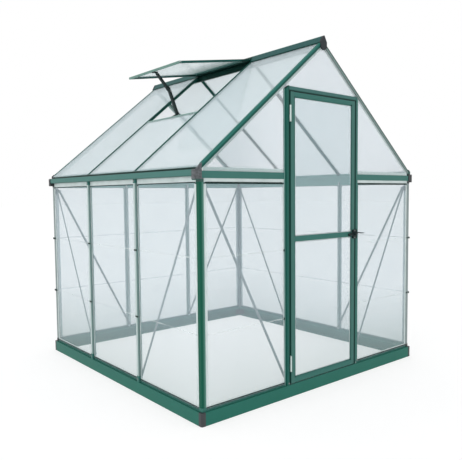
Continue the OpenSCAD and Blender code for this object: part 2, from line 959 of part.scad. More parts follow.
// Crossbar under the vent's free edge, between the two roof bars
module vent_sill() {
    reach = bay_half - cap_half;
    color(green) mirror([1, 0, 0]) on_slope() translate([sill_s, 0, 0])
        slab(-reach, reach) {
            rect([0, -roof_bar_depth], [skin, 0]);
            rect([0, -skin], [14, 0]);
            rect([0, -roof_seat - skin], [14, -roof_seat]);
            rect([-12, -roof_bar_depth], [skin, skin - roof_bar_depth]);
        }
}

// Two-link stay between brackets on the vent's free edge and on the sill
module vent_stay() {
    ankle = slope_point(sill_s - 50, -20);
    wrist = vent_point(vent_len - 30, -vent_t - 10);
    span = wrist - ankle;
    knee = ankle + 0.53 * span + 0.093 * [-span[1], span[0]];
    web_low = skin - roof_bar_depth;
    module plate(thick) {
        mirror([1, 0, 0]) slab(-thick / 2, thick / 2) children();
    }
    module link(a, b, wide_a, wide_b) {
        run = b - a;
        translate(a) rotate(atan2(run[1], run[0])) polygon([
            [0, -wide_a / 2], [norm(run), -wide_b / 2], [norm(run), wide_b / 2], [0, wide_a / 2]
        ]);
    }
    color(black) {
        plate(8) link(wrist, knee, 12, 17);
        plate(12) link(knee, ankle, 17, 12);
        plate(16) translate(knee) circle(d = 20);
        plate(20) translate(knee) circle(d = 11);
        plate(14) translate(wrist) circle(d = 13);
        plate(14) translate(ankle) circle(d = 14);
        plate(10) polygon([
            slope_point(sill_s, web_low), slope_point(sill_s, -8), slope_point(sill_s - 52, -18),
            slope_point(sill_s - 50, -24), slope_point(sill_s - 12, web_low)
        ]);
        plate(10) polygon([
            vent_point(vent_len - 2, -vent_t), vent_point(vent_len - 14, -vent_t),
            vent_point(vent_len - 34, -vent_t - 8), vent_point(vent_len - 26, -vent_t - 14)
        ]);
    }
}

// ---- Door ----

// Leaves fixed to the jamb, each with a knuckle and the pin that stands in it
module hinge_leaves() {
    color(pale) for (z = hinge_z) translate([hinge_x, hinge_y, z]) {
        knuckle_h = hinge_h * 0.45;
        block([-door_gap / 2, 0, 0], [2 - door_gap / 2, 24, knuckle_h]);
        cylinder(r = hinge_r, h = knuckle_h);
        cylinder(r = pin_r, h = hinge_h - 3);
    }
}

// Knuckles on the door that turn on the pins
module hinge_knuckles() {
    low = hinge_h * 0.45 + 0.5;
    color(pale) for (z = hinge_z) translate([hinge_x, hinge_y, z]) difference() {
        union() {
            translate([0, 0, low]) cylinder(r = hinge_r, h = hinge_h - low);
            block([door_gap / 2 - 2, 0, low], [door_gap / 2, 22, hinge_h]);
        }
        translate([0, 0, low - 1]) cylinder(r = pin_r + pin_gap, h = hinge_h - low - 1);
    }
}

module door_stiles() {
    color(green) both_x() translate([-leaf_half, leaf_front, 0])
        upright(leaf_low, door_top) door_bar_section(stile_w);
}

// Top, mid and bottom rails between the stiles
module door_rails() {
    reach = leaf_half - stile_w;
    color(green) translate([0, leaf_front, 0]) {
        translate([0, 0, leaf_low]) along(-reach, reach) mirror([1, -1]) door_bar_section(rail_h + 3);
        translate([0, 0, door_top]) along(-reach, reach) mirror([0, 1]) mirror([1, -1])
            door_bar_section(rail_h - 2);
        translate([0, 0, mid_rail_h]) along(-reach, reach) {
            rect([0, -rail_h / 2], [skin, rail_h / 2]);
            rect([wall_seat, -rail_h / 2], [wall_seat + skin, rail_h / 2]);
            rect([0, -3], [door_t, 3]);
        }
    }
}

module door_sheets() {
    x1 = leaf_half - stile_w + rail_fin - edge_gap;
    y0 = leaf_front + wall_seat - wall_sheet_t;
    y1 = leaf_front + wall_seat;
    color(clear) {
        block([-x1, y0, leaf_low + rail_h + 3 - rail_fin + edge_gap], [x1, y1, mid_rail_h - 3 - edge_gap]);
        block([-x1, y0, mid_rail_h + 3 + edge_gap], [x1, y1, door_top - rail_h + 2 + rail_fin - edge_gap]);
    }
}

// Moulded lock case on the latch stile, with a beaked arm over the mid rail
module lock_case() {
    arm = lock_half + 40;
    color(black) translate([lock_x, leaf_front, mid_rail_h]) {
        difference() {
            union() {
                slab(-lock_t, 0) rounded_all([-lock_half, -lock_h / 2], [lock_half, lock_h / 2], 8);
                slab(2 - lock_t, 0) {
                    polygon([[-arm, -1], [-lock_half - 20, -8], [-8, -13], [-8, 12], [-arm, 3]]);
                    translate([-lock_half - 16, 0]) circle(9);
                    polygon([[-arm + 8, -1], [-arm + 4, -10], [-arm + 12, -12], [-arm + 20, -1]]);
                }
            }
            translate([0, -lock_t - 1, 0]) rotate([-90, 0, 0])
                cylinder(r = spindle_r + pin_gap, h = lock_t - 1);
        }
    }
}

// Catch plate on the right jamb, rounded like the case it faces
module door_keeper() {
    color(black) translate([frame_half + 1, leaf_front, mid_rail_h]) slab(-7, 0)
        rounded_all([0, -lock_h / 2], [8, lock_h / 2], 3);
}

// Turning lever: spindle in the case, hub, and a curved blade that reaches over the jamb
module door_lever() {
    stand = 0.3;
    steps = 8;
    function edge(t, side) =
        [t * lever_len, lever_tip + (lever_rise - lever_tip) * pow(1 - t, 2) + side * (1 + 2.4 * sin(180 * t))];
    color(black) translate([lock_x, leaf_front - lock_t - stand, mid_rail_h]) {
        rotate([-90, 0, 0]) cylinder(r = spindle_r, h = lock_t - 3);
        rotate([90, 0, 0]) cylinder(r1 = hub_r, r2 = hub_r - 2, h = hub_t + 6);
        slab(-hub_t - 6, -hub_t) {
            polygon([
                for (i = [0:steps]) edge(i / steps, -1),
                for (i = [steps:-1:0]) edge(i / steps, 1)
            ]);
            polygon([[0, 0], [hub_r - 2, 0], [lever_len / 4, 11], [0, lever_rise + 4]]);
        }
    }
}

base_front();
base_back();
base_sides();
base_corners();
sill_front();
sill_back();
side_sills();
corner_posts();
wall_studs();
door_jambs();
door_header();
eave_left();
eave_right();
gable_tie_front();
gable_tie_back();
eave_corners();
gable_rafters_front();
gable_rafters_back();
roof_bars();
ridge_beam();
ridge_caps();
wall_sheets_left();
wall_sheets_right();
wall_sheets_back();
wall_sheets_front();
gable_sheets_front();
gable_sheet_back();
roof_sheets_left();
roof_sheets_right();
wall_braces();
vent_side_bars();
vent_end_bars();
vent_sheet();
vent_sill();
vent_stay();
brace_brackets();
stud_shoes();
hinge_leaves();
door_keeper();
door_stiles();
door_rails();
door_sheets();
hinge_knuckles();
lock_case();
door_lever();
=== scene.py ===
import math

import bpy
from mathutils import Euler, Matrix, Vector


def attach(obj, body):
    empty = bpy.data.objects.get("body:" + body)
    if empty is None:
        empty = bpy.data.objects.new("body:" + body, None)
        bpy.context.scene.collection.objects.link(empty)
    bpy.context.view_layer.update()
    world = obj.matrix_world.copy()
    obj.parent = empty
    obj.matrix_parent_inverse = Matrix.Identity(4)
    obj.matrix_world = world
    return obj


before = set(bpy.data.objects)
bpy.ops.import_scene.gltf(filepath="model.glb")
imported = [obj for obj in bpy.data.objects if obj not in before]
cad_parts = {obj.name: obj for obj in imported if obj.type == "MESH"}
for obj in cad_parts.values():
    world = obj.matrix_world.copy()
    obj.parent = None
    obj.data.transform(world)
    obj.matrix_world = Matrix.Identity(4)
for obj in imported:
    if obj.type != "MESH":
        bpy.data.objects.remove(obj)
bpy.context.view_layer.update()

# ---- Camera ----
# A standing viewer off the front left corner looks slightly down across the greenhouse,
# with a normal lens on a full-frame sensor.
eye = Vector((-2.5171, -3.0909, 1.1645))
turn, dip, tilt = (math.radians(a) for a in (-39.69, -3.745, -0.5425))
camera = bpy.data.objects.new("camera", bpy.data.cameras.new("camera"))
bpy.context.scene.collection.objects.link(camera)
camera.location = eye
camera.rotation_euler = (
    Euler((0, 0, turn)).to_matrix()
    @ Euler((math.pi / 2 + dip, 0, 0)).to_matrix()
    @ Euler((0, 0, tilt)).to_matrix()
).to_euler()
camera.data.sensor_width = 36
camera.data.lens = 42.9
camera.data.clip_start = 0.05
camera.data.clip_end = 200
bpy.context.scene.camera = camera


# ---- Studio ----
# A white room with soft light from everywhere and a broad lamp from the left,
# so that the side faces come out a little lighter than the door gable.
class Value:
    """A shader socket that adds Math nodes when it stands in an expression."""

    def __init__(self, tree, socket):
        self.tree = tree
        self.socket = socket

    def maths(self, operation, other, swapped=False):
        node = self.tree.nodes.new("ShaderNodeMath")
        node.operation = operation
        pair = (other, self) if swapped else (self, other)
        for socket, item in zip(node.inputs, pair):
            if isinstance(item, Value):
                self.tree.links.new(item.socket, socket)
            else:
                socket.default_value = item
        return Value(self.tree, node.outputs[0])

    def __add__(self, other):
        return self.maths("ADD", other)

    def __sub__(self, other):
        return self.maths("SUBTRACT", other)

    def __rsub__(self, other):
        return self.maths("SUBTRACT", other, swapped=True)

    def __mul__(self, other):
        return self.maths("MULTIPLY", other)

    def __abs__(self):
        return self.maths("ABSOLUTE", 0.0)

    def __lt__(self, other):
        return self.maths("LESS_THAN", other)

    def __gt__(self, other):
        return self.maths("GREATER_THAN", other)

    def between(self, low, high):
        return (self > low) * (self < high)

    __radd__ = __add__
    __rmul__ = __mul__


class Nodes:
    """A node tree with one way of adding a node."""

    def __init__(self, tree):
        self.tree = tree

    def node(self, kind, settings=None, sockets=None, output=0):
        made = self.tree.nodes.new(kind)
        for name, value in (settings or {}).items():
            setattr(made, name, value)
        self.feed(made, sockets or {})
        return Value(self.tree, made.outputs[output])

    def feed(self, made, sockets):
        """Set each socket to a number or colour, or link it to a Value or a list of them."""
        for name, value in sockets.items():
            for item in value if isinstance(value, list) else [value]:
                if isinstance(item, Value):
                    self.tree.links.new(item.socket, made.inputs[name])
                else:
                    made.inputs[name].default_value = item

    def clamp(self, value):
        return self.node("ShaderNodeClamp", None, {"Value": value})

    def shown(self):
        """One on rays that show the white room: seen straight, in a shine or through glass."""
        camera_ray, shine_ray, glass_ray = (
            self.node("ShaderNodeLightPath", output=kind)
            for kind in ("Is Camera Ray", "Is Glossy Ray", "Is Transmission Ray")
        )
        return self.clamp(camera_ray + shine_ray + glass_ray)


scene = bpy.context.scene
scene.view_settings.view_transform = "Standard"
wall_light = 1.75
ceiling_light = 0.75
world = bpy.data.worlds.new("room")
scene.world = world
world.use_nodes = True
room = Nodes(world.node_tree)
seen = room.shown()
way_up = room.node("ShaderNodeSeparateXYZ", None, {0: room.node("ShaderNodeTexCoord")}, output=2)
climb = room.node("ShaderNodeMapRange", {"interpolation_type": "SMOOTHSTEP"}, {
    "Value": way_up, "From Min": 0.05, "From Max": 0.8,
    "To Min": wall_light, "To Max": ceiling_light,
})
room.feed(room.tree.nodes["Background"], {
    "Color": (1, 1, 1, 1), "Strength": seen + (1 - seen) * climb
})

lamp_place = Vector((-7.0, -2.0, 2.6))
lamp_target = Vector((0, 0, 0.9))
lamp_light = bpy.data.lights.new("key", "AREA")
lamp_light.energy = 65
lamp_light.size = 3.5
lamp = bpy.data.objects.new("key", lamp_light)
lamp.location = lamp_place
lamp.rotation_euler = (lamp_target - lamp_place).to_track_quat("-Z", "Y").to_euler()
scene.collection.objects.link(lamp)

floor_reach = 60
floor_level = -0.0005
floor_corners = [
    (x * floor_reach, y * floor_reach, floor_level) for x, y in ((-1, -1), (1, -1), (1, 1), (-1, 1))
]
floor_mesh = bpy.data.meshes.new("floor")
floor_mesh.from_pydata(floor_corners, [], [(0, 1, 2, 3)])
floor = bpy.data.objects.new("floor", floor_mesh)
scene.collection.objects.link(floor)
paper = bpy.data.materials.new("white_paper")
paper.use_nodes = True
roll = Nodes(paper.node_tree)
matt = roll.tree.nodes["Principled BSDF"]
roll.feed(matt, {"Base Color": (0.9, 0.9, 0.9, 1), "Roughness": 0.9, "Specular IOR Level": 0.0})
glow = roll.node("ShaderNodeEmission", None, {"Color": (1, 1, 1, 1), "Strength": 1.12})
glow_share, shown_share = 0.32, 0.30
lit_paper = roll.node("ShaderNodeMixShader", None, {
    0: glow_share + shown_share * roll.shown(), 1: Value(roll.tree, matt.outputs[0]), 2: glow
})
roll.feed(roll.tree.nodes["Material Output"], {"Surface": lit_paper})
floor_mesh.materials.append(paper)


# ---- Base ring ----
# Folded steel channel with a satin green powder coat carries the whole frame.
# Moulded plastic covers hold it at the corners, with two hex screws in each.
class Finish(Nodes):
    """A procedural finish: one Principled shader with its colour, gloss and bump."""

    def __init__(self, name):
        self.material = bpy.data.materials.new(name)
        self.material.use_nodes = True
        super().__init__(self.material.node_tree)
        self.shader = self.tree.nodes["Principled BSDF"]
        self.place = self.node("ShaderNodeTexCoord", output=3)
        self.x, self.y, self.z = (
            self.node("ShaderNodeSeparateXYZ", None, {0: self.place}, output=axis)
            for axis in range(3)
        )

    def set(self, sockets):
        self.feed(self.shader, sockets)

    def noise(self, scale, detail=2.0, stretch=(1, 1, 1)):
        place = self.node("ShaderNodeMapping", None, {"Vector": self.place, "Scale": stretch})
        return self.node("ShaderNodeTexNoise", None, {
            "Vector": place, "Scale": scale, "Detail": detail
        })

    def mix(self, share, below, above):
        """One colour over another, each a plain colour or the socket of one."""
        below, above = (c if isinstance(c, Value) else (*c, 1) for c in (below, above))
        return self.node(
            "ShaderNodeMix", {"data_type": "RGBA"}, {0: share, 6: below, 7: above}, output=2
        )

    def layer(self, colour, layers):
        """The colour with layers over it, each the share of the surface it covers and its tone."""
        for share, tone in layers:
            colour = self.mix(share(self), colour, tone(self) if callable(tone) else tone)
        return colour

    def front_left(self):
        """One on the front left corner of the building."""
        reach = -0.84
        return (self.x < reach) * (self.y < reach)

    def bump(self, height, strength, distance):
        self.set({"Normal": self.node("ShaderNodeBump", None, {
            "Height": height, "Strength": strength, "Distance": distance
        })})


def powder_coat(name, light, dark, *layers):
    """A satin coat on metal, a little mottled and with a fine orange peel."""
    finish = Finish(name)
    mottle = finish.noise(7.0, 4.0)
    finish.set({
        "Specular IOR Level": 0.10,
        "Base Color": finish.layer(finish.mix(mottle, dark, light), layers),
        "Roughness": 0.34 + 0.12 * mottle,
    })
    finish.bump(finish.noise(700.0, 1.0), 0.12, 0.0004)
    return finish.material


def moulded(name, light, dark, roughness, *layers, gloss=0.16):
    """Plastic or rubber with the fine grain of its mould."""
    finish = Finish(name)
    grain = finish.noise(420.0, 3.0)
    finish.set({
        "Specular IOR Level": gloss,
        "Base Color": finish.layer(finish.mix(finish.noise(9.0, 3.0), dark, light), layers),
        "Roughness": roughness + 0.1 * grain,
    })
    finish.bump(grain, 0.25, 0.0003)
    return finish.material


def dress(material, *names):
    for name in names:
        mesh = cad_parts[name].data
        mesh.materials.clear()
        mesh.materials.append(material)


green_steel = powder_coat("green_steel_coat", (0.021, 0.137, 0.104), (0.017, 0.118, 0.089))
# The top lip of the front left cover shows the green of the channel behind it.
cover_lip = 0.0705
base_cover = moulded(
    "corner_cover_plastic", (0.028, 0.033, 0.038), (0.019, 0.023, 0.026), 0.40,
    (lambda f: f.front_left() * (f.z > cover_lip), (0.010, 0.118, 0.092)),
    gloss=0.5,
)
dress(green_steel, "base_front", "base_back", "base_sides")
dress(base_cover, "base_corners")


# Hex screws and washers stand on the faces they clamp: one head on each marked spot.
class Pattern(Nodes):
    """A geometry tree that repeats a shape over a seed mesh and leaves one plain mesh."""

    def __init__(self, name, **sizes):
        super().__init__(bpy.data.node_groups.new(name, "GeometryNodeTree"))
        sides = self.tree.interface
        sides.new_socket("Geometry", in_out="OUTPUT", socket_type="NodeSocketGeometry")
        sides.new_socket("Geometry", in_out="INPUT", socket_type="NodeSocketGeometry")
        self.keys = {}
        for label, value in sizes.items():
            kind = "NodeSocketInt" if isinstance(value, int) else "NodeSocketFloat"
            socket = sides.new_socket(label, in_out="INPUT", socket_type=kind)
            socket.default_value = value
            self.keys[label] = socket.identifier
        coat = sides.new_socket("Coat", in_out="INPUT", socket_type="NodeSocketMaterial")
        self.keys["Coat"] = coat.identifier
        self.given = self.tree.nodes.new("NodeGroupInput")

    def size(self, label):
        return Value(self.tree, self.given.outputs[label])

    def mark(self, label):
        """The vector that each point of the seed mesh keeps under a name."""
        return self.node("GeometryNodeInputNamedAttribute", {"data_type": "FLOAT_VECTOR"}, {
            "Name": label
        })

    def close(self, made):
        real = self.node("GeometryNodeRealizeInstances", None, {"Geometry": made})
        coated = self.node("GeometryNodeSetMaterial", None, {
            "Geometry": real, "Material": self.size("Coat")
        })
        self.feed(self.tree.nodes.new("NodeGroupOutput"), {0: coated})

    def make(self, name, body, coat, seed, **sizes):
        """Lay the pattern over a seed mesh as one plain piece that rides on a body."""
        carrier = bpy.data.objects.new(name + "_seed", seed)
        scene.collection.objects.link(carrier)
        modifier = carrier.modifiers.new("pattern", "NODES")
        modifier.node_group = self.tree
        modifier[self.keys["Coat"]] = coat
        for label, value in sizes.items():
            modifier[self.keys[label]] = value
        graph = bpy.context.evaluated_depsgraph_get()
        mesh = bpy.data.meshes.new_from_object(carrier.evaluated_get(graph), depsgraph=graph)
        bpy.data.objects.remove(carrier)
        piece = bpy.data.objects.new(name, mesh)
        scene.collection.objects.link(piece)
        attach(piece, body)


heads = Pattern("screw_heads", Sides=6, Radius=0.0045, Height=0.0035)
head = heads.node("GeometryNodeMeshCone", None, {
    "Vertices": heads.size("Sides"), "Radius Top": heads.size("Radius") * 0.78,
    "Radius Bottom": heads.size("Radius"), "Depth": heads.size("Height"),
})
washer = heads.node("GeometryNodeMeshCylinder", None, {
    "Vertices": 20, "Radius": heads.size("Radius") * 1.45, "Depth": heads.size("Height") * 0.3,
})
heads.close(heads.node("GeometryNodeInstanceOnPoints", None, {
    "Points": heads.size("Geometry"),
    "Instance": heads.node("GeometryNodeJoinGeometry", None, {"Geometry": [head, washer]}),
    "Rotation": heads.node("FunctionNodeAlignRotationToVector", {"axis": "Z"}, {
        "Vector": heads.mark("facing")
    }),
}))


def spots(rows):
    """A seed mesh of marked spots in millimetres, each with the way it faces."""
    seed = bpy.data.meshes.new("spots")
    seed.from_pydata([Vector(place) / 1000 for place, _ in rows], [], [])
    facing = seed.attributes.new("facing", "FLOAT_VECTOR", "POINT")
    facing.data.foreach_set("vector", [c for _, way in rows for c in way])
    return seed


screw_finish = Finish("zinc_screw_metal")
screw_wear = screw_finish.noise(300.0, 3.0)
screw_finish.set({
    "Base Color": screw_finish.mix(screw_wear, (0.16, 0.18, 0.18), (0.30, 0.33, 0.33)),
    "Metallic": 0.7,
    "Roughness": 0.30 + 0.25 * screw_wear,
})
screw_metal = screw_finish.material
corners = [(side, run) for side in (-1, 1) for run in (-1, 1)]
cover_middle, cover_end, cover_side = 36, 928.2, 923.2
cover_screws = [
    ((side * 912, run * cover_end, cover_middle), (0, run, 0)) for side, run in corners
] + [
    ((side * cover_side, run * 914, cover_middle), (side, 0, 0)) for side, run in corners
]
heads.make(
    "base_cover_screws", "greenhouse", screw_metal, spots(cover_screws),
    Radius=0.0035, Height=0.0017,
)

# ---- Sills, jambs and header ----
# Extruded aluminium bars with the same green coat are screwed to the base ring.
# The wall sheets stand in their grooves, and the jambs and header frame the doorway.
green_bars = powder_coat("green_bar_coat", (0.040, 0.148, 0.126), (0.032, 0.126, 0.107))
dress(green_bars, "sill_front", "sill_back", "side_sills")
# The dark green of painted shade in the gaps round the door.
gap_shade_green = (0.003, 0.044, 0.035)
jamb_inner, jamb_outer, header_lip = 0.2985, 0.3185, 1.7385
jamb_coat = powder_coat(
    "jamb_coat", (0.042, 0.150, 0.126), (0.033, 0.128, 0.107),
    # Painted shade makes the hinge jamb deeper green, and darkens both jambs where they face the
    # door.
    (lambda f: (f.x < -jamb_inner) * 0.9, (0.010, 0.090, 0.070)),
    (lambda f: (abs(f.x) < jamb_inner) * 0.92, gap_shade_green),
    # A painted highlight gives the hinge jamb a pale outer edge, and painted shade darkens a groove
    # beside the hinge leaves.
    (lambda f: (f.x < -jamb_outer) * 0.8, (0.18, 0.35, 0.32)),
    (lambda f: f.x.between(-0.3005, -0.2955) * 0.9, gap_shade_green),
)
# Painted shade darkens the lower lip of the header along the top of the door.
header_coat = powder_coat(
    "header_coat", (0.050, 0.140, 0.128), (0.042, 0.122, 0.112),
    (lambda f: (f.z < header_lip) * 0.9, (0.010, 0.064, 0.052)),
)
dress(jamb_coat, "door_jambs")
dress(header_coat, "door_header")


# ---- Posts, studs and braces ----
# Bare extruded aluminium, drawn lengthwise, with fine die lines along each bar.
# Flat braces run from the post heads to the stud feet, with a screw at each end.
def bare_metal(name, light, dark, stretch, *layers, coated=None):
    """Drawn aluminium, with its lines stretched along the bar and a share under a coat."""
    finish = Finish(name)
    lines = finish.noise(60.0, 3.0, stretch)
    sheen = 0.55
    finish.set({
        "Specular IOR Level": 0.12,
        "Base Color": finish.layer(finish.mix(lines, dark, light), layers),
        "Metallic": sheen - sheen * coated(finish) if coated else sheen,
        "Roughness": 0.32 + 0.18 * lines,
    })
    finish.bump(lines, 0.15, 0.0003)
    return finish.material


def stud_edges(finish):
    """One along both edges of a stud's face, away from its middle."""
    stud_middle, face_half = 0.303, 0.0062
    off_side = abs(abs(finish.y) - stud_middle)
    off_back = abs(abs(finish.x) - stud_middle)
    return (off_side > face_half) * (off_back > face_half)


def post_face(finish):
    """The green of the front left post, with painted shade deepening it towards its outer edge."""
    post_edge, across_per_metre = -0.902, 60.0
    across = (finish.x - post_edge) * across_per_metre
    return finish.mix(across, (0.003, 0.082, 0.050), (0.100, 0.235, 0.200))


upright_lines = (12, 12, 0.15)
post_metal = bare_metal(
    "post_metal", (0.27, 0.32, 0.32), (0.20, 0.245, 0.245), upright_lines,
    (Finish.front_left, post_face), coated=Finish.front_left,
)
stud_metal = bare_metal(
    "bare_upright_metal", (0.52, 0.61, 0.60), (0.42, 0.51, 0.50), upright_lines,
    (lambda f: stud_edges(f) * 0.7, (0.10, 0.20, 0.185)),
)
flat_metal = bare_metal("bare_flat_metal", (0.235, 0.275, 0.28), (0.165, 0.20, 0.205), (6, 6, 6))
hinge_metal = bare_metal("bright_hinge_metal", (0.60, 0.70, 0.68), (0.50, 0.59, 0.57), (8, 8, 1))
dress(post_metal, "corner_posts")
dress(stud_metal, "wall_studs")
dress(flat_metal, "wall_braces", "brace_brackets")
dress(hinge_metal, "hinge_leaves", "hinge_knuckles")
dress(green_bars, "stud_shoes")

# Each screw goes through its flat, and shows a head inside the wall and one outside it.
brace_head, brace_foot = 1194, 104
side_inner, side_outer = 893.2, 897.5
gable_inner, gable_outer = 898.2, 902.5
brace_screws = []
for side, run in corners:
    for along, high in ((871, brace_head), (302, brace_foot)):
        brace_screws.append(((side * side_inner, run * along, high), (-side, 0, 0)))
        brace_screws.append(((side * side_outer, run * along, high), (side, 0, 0)))
    for across, high in ((866, brace_head), (302, brace_foot)):
        brace_screws.append(((side * across, run * gable_inner, high), (0, -run, 0)))
        brace_screws.append(((side * across, run * gable_outer, high), (0, run, 0)))
heads.make(
    "brace_screws", "greenhouse", screw_metal, spots(brace_screws), Radius=0.005, Height=0.004
)
shoe_face, stud_line = 925, 303
stud_foot, stud_head = 88, 1243
shoe_screws = [
    ((side * shoe_face, run * stud_line, high), (side, 0, 0))
    for side, run in corners for high in (stud_foot, stud_head)
]
heads.make(
    "shoe_screws", "greenhouse", screw_metal, spots(shoe_screws), Radius=0.0035, Height=0.0026
)

# ---- Eaves, ties and corners ----
# The eave beams are extruded with a gutter along them, and the ties join them across
# the gables. Dark moulded corners plug into the beams and close the gutter's ends.
gutter_inner, gutter_outer, gutter_bed, gutter_rim = 0.9105, 0.9356, 1.2560, 1.3040
eave_coat = powder_coat(
    "eave_coat", (0.060, 0.170, 0.150), (0.050, 0.150, 0.132),
    # Painted shade darkens the gutter's channel and its upper rim under the roof sheets, and a
    # painted highlight makes the face inside it paler.
    (
        lambda f: abs(f.x).between(gutter_inner, gutter_outer) * (f.z > gutter_bed),
        (0.002, 0.024, 0.019),
    ),
    (lambda f: (f.z > gutter_rim) * 0.75, (0.004, 0.052, 0.040)),
    (lambda f: (abs(f.x) < gutter_inner) * 0.9, (0.14, 0.31, 0.28)),
)
# A painted highlight gives the front tie a pale lip along its top and its foot.
tie_head_lip, tie_foot_lip = 1.2806, 1.2438
front_tie_coat = powder_coat(
    "tie_coat", (0.048, 0.156, 0.135), (0.039, 0.136, 0.116),
    (lambda f: (f.z > tie_head_lip) * 0.9, (0.56, 0.68, 0.66)),
    (lambda f: (f.z < tie_foot_lip) * 0.9, (0.50, 0.62, 0.60)),
)
back_tie_coat = powder_coat("inner_bar_coat", (0.15, 0.32, 0.29), (0.12, 0.28, 0.25))
dress(eave_coat, "eave_left", "eave_right")
dress(front_tie_coat, "gable_tie_front")
dress(back_tie_coat, "gable_tie_back")

# Painted light turns the front left corner a cloudy grey with highlights above its green collar,
# where the other corners stay dark. The right corners are green where they rise over the beam.
corner_finish = Finish("eave_corner_plastic")
corner_grain = corner_finish.noise(420.0, 3.0)
corner_tone = corner_finish.mix(corner_grain, (0.012, 0.015, 0.017), (0.020, 0.024, 0.027))
corner_painted_light = corner_finish.mix(
    2.2 * corner_finish.noise(90.0) - 0.6, (0.030, 0.036, 0.040), (0.105, 0.115, 0.125)
)
collar_head, rise_foot = 1.2400, 1.2900
corner_near = corner_finish.front_left()
corner_collar = corner_near * (corner_finish.z < collar_head)
corner_rise = (corner_finish.x > 0.0) * (corner_finish.z > rise_foot)
corner_finish.set({
    "Base Color": corner_finish.mix(
        corner_collar + corner_rise,
        corner_finish.mix(corner_near, corner_tone, corner_painted_light),
        (0.007, 0.064, 0.051),
    ),
    "Roughness": 0.42 + 0.1 * corner_grain,
})
corner_finish.bump(corner_grain, 0.25, 0.0003)
dress(corner_finish.material, "eave_corners")

# ---- Roof frame ----
# Gable rafters, roof bars and a ridge beam, extruded in aluminium and coated green.
# The rafters meet under the ridge, and moulded caps close its ends.
ridge_height, eave_height, half_span = 2058, 1306, 912
pitch = math.atan2(ridge_height - eave_height, half_span)


def below_roof(finish):
    """How far a point lies under the plane of the roof's top, square to it."""
    drop = (ridge_height / 1000 - finish.z) * math.cos(pitch)
    return drop - abs(finish.x) * math.sin(pitch)


cap_depth, right_cap_depth, lip_depth = 0.0095, 0.0115, 0.0215
rafter_coat = powder_coat(
    "rake_coat", (0.024, 0.149, 0.122), (0.018, 0.127, 0.104),
    # Each rafter steps down its face: a green cap, a recess darkened by painted shade and a lower
    # lip paled by a painted highlight.
    (lambda f: (below_roof(f) > cap_depth) * 0.62, (0.003, 0.036, 0.029)),
    (lambda f: (f.x > 0) * 0.92, (0.21, 0.30, 0.28)),
    (lambda f: (below_roof(f) > lip_depth) * 0.85, (0.50, 0.61, 0.59)),
    # The right one is greyer with a painted reflection, with a fine line of painted shade over the
    # lip and painted shade on its cap.
    (lambda f: (f.x > 0) * below_roof(f).between(0.0185, 0.0225) * 0.8, (0.09, 0.14, 0.13)),
    (lambda f: (f.x > 0) * (below_roof(f) < right_cap_depth) * 0.92, (0.014, 0.038, 0.031)),
)
crown_foot, beam_foot, middle_bay = 2.0765, 2.0430, 0.31
ridge_coat = powder_coat(
    "ridge_coat", (0.024, 0.090, 0.086), (0.018, 0.076, 0.073),
    # The beam has a crown paled by a painted highlight and an underside darkened by painted shade,
    # and painted shade darkens it over the middle bay beside the open vent.
    (lambda f: (f.z > crown_foot) * 0.7, (0.075, 0.190, 0.165)),
    (lambda f: (f.z < beam_foot) * 0.85, (0.002, 0.034, 0.026)),
    (lambda f: f.y.between(-middle_bay, middle_bay) * 0.85, (0.002, 0.030, 0.023)),
)
# The roof bars are a darker copy of the bar coat, painted shade for the shaded sides of their fins.
roof_bar_coat = powder_coat("roof_bar_coat", (0.016, 0.092, 0.074), (0.012, 0.078, 0.062))
cap_plastic = moulded("dark_moulded_plastic", (0.030, 0.035, 0.040), (0.021, 0.025, 0.029), 0.42)
dress(rafter_coat, "gable_rafters_front", "gable_rafters_back")
dress(ridge_coat, "ridge_beam")
dress(roof_bar_coat, "roof_bars")
dress(cap_plastic, "ridge_caps")


# ---- Sheets ----
# Clear polycarbonate with a faint milky haze, cut to the bays and slid into the bars.
# The roof and the vent have hazier twin-wall sheets.
def clear_sheet(name, tint, body, ripple, overlay=None):
    """A hazy clear sheet; an overlay, which darkens it by place, is where it lies, its tone, its
    cover and its body.
    """
    finish = Finish(name)
    thin_tint = tuple(0.93 * c for c in tint)
    thick_tint = tuple(min(1.0, 1.07 * c) for c in tint)
    colour = finish.mix(finish.noise(1.3, 6.0), thin_tint, thick_tint)
    alpha = body + 0.05 * finish.noise(3.5, 5.0)
    if overlay:
        spread, tone, cover, overlay_body = overlay
        lies = finish.clamp(spread(finish))
        colour = finish.mix(cover * lies, colour, tone)
        alpha = alpha + overlay_body * lies
    finish.set({"Base Color": colour, "Alpha": alpha, "Roughness": 0.12, "IOR": 1.45})
    finish.bump(finish.noise(2.2, 2.0), ripple, 0.002)
    return finish.material


# Overlays darken some sheets: a greener tone up the foot of the walls, painted shade over
# the left of the front gable, and painted shade in green that thickens towards the vent's hinge.
wall_foot_tone = (lambda f: 1 - 1.9 * f.z, (0.29, 0.40, 0.385), 0.80, 0.10)
left_shade = (lambda f: -2.4 * f.x - 0.85, (0.42, 0.50, 0.55), 0.9, 0.0)
hinge_shade = (lambda f: 3.2 * f.x + 1.1, (0.05, 0.29, 0.24), 0.85, 0.26)
wall_body, roof_body, vent_body = 0.17, 0.30, 0.35
wall_ripple, roof_ripple = 0.3, 0.2
wall_clear = clear_sheet(
    "clear_wall_sheet", (0.53, 0.64, 0.70), wall_body, wall_ripple, wall_foot_tone
)
gable_clear = clear_sheet(
    "clear_gable_sheet", (0.78, 0.82, 0.88), wall_body, wall_ripple, left_shade
)
roof_clear = clear_sheet("twin_wall_roof_sheet", (0.76, 0.87, 0.91), roof_body, roof_ripple)
vent_clear = clear_sheet(
    "vent_sheet_haze", (0.64, 0.80, 0.82), vent_body, roof_ripple, hinge_shade
)
dress(
    wall_clear, "wall_sheets_left", "wall_sheets_right", "wall_sheets_back", "wall_sheets_front",
    "gable_sheet_back", "door_sheets",
)
dress(gable_clear, "gable_sheets_front")
dress(roof_clear, "roof_sheets_left", "roof_sheets_right")
dress(vent_clear, "vent_sheet")

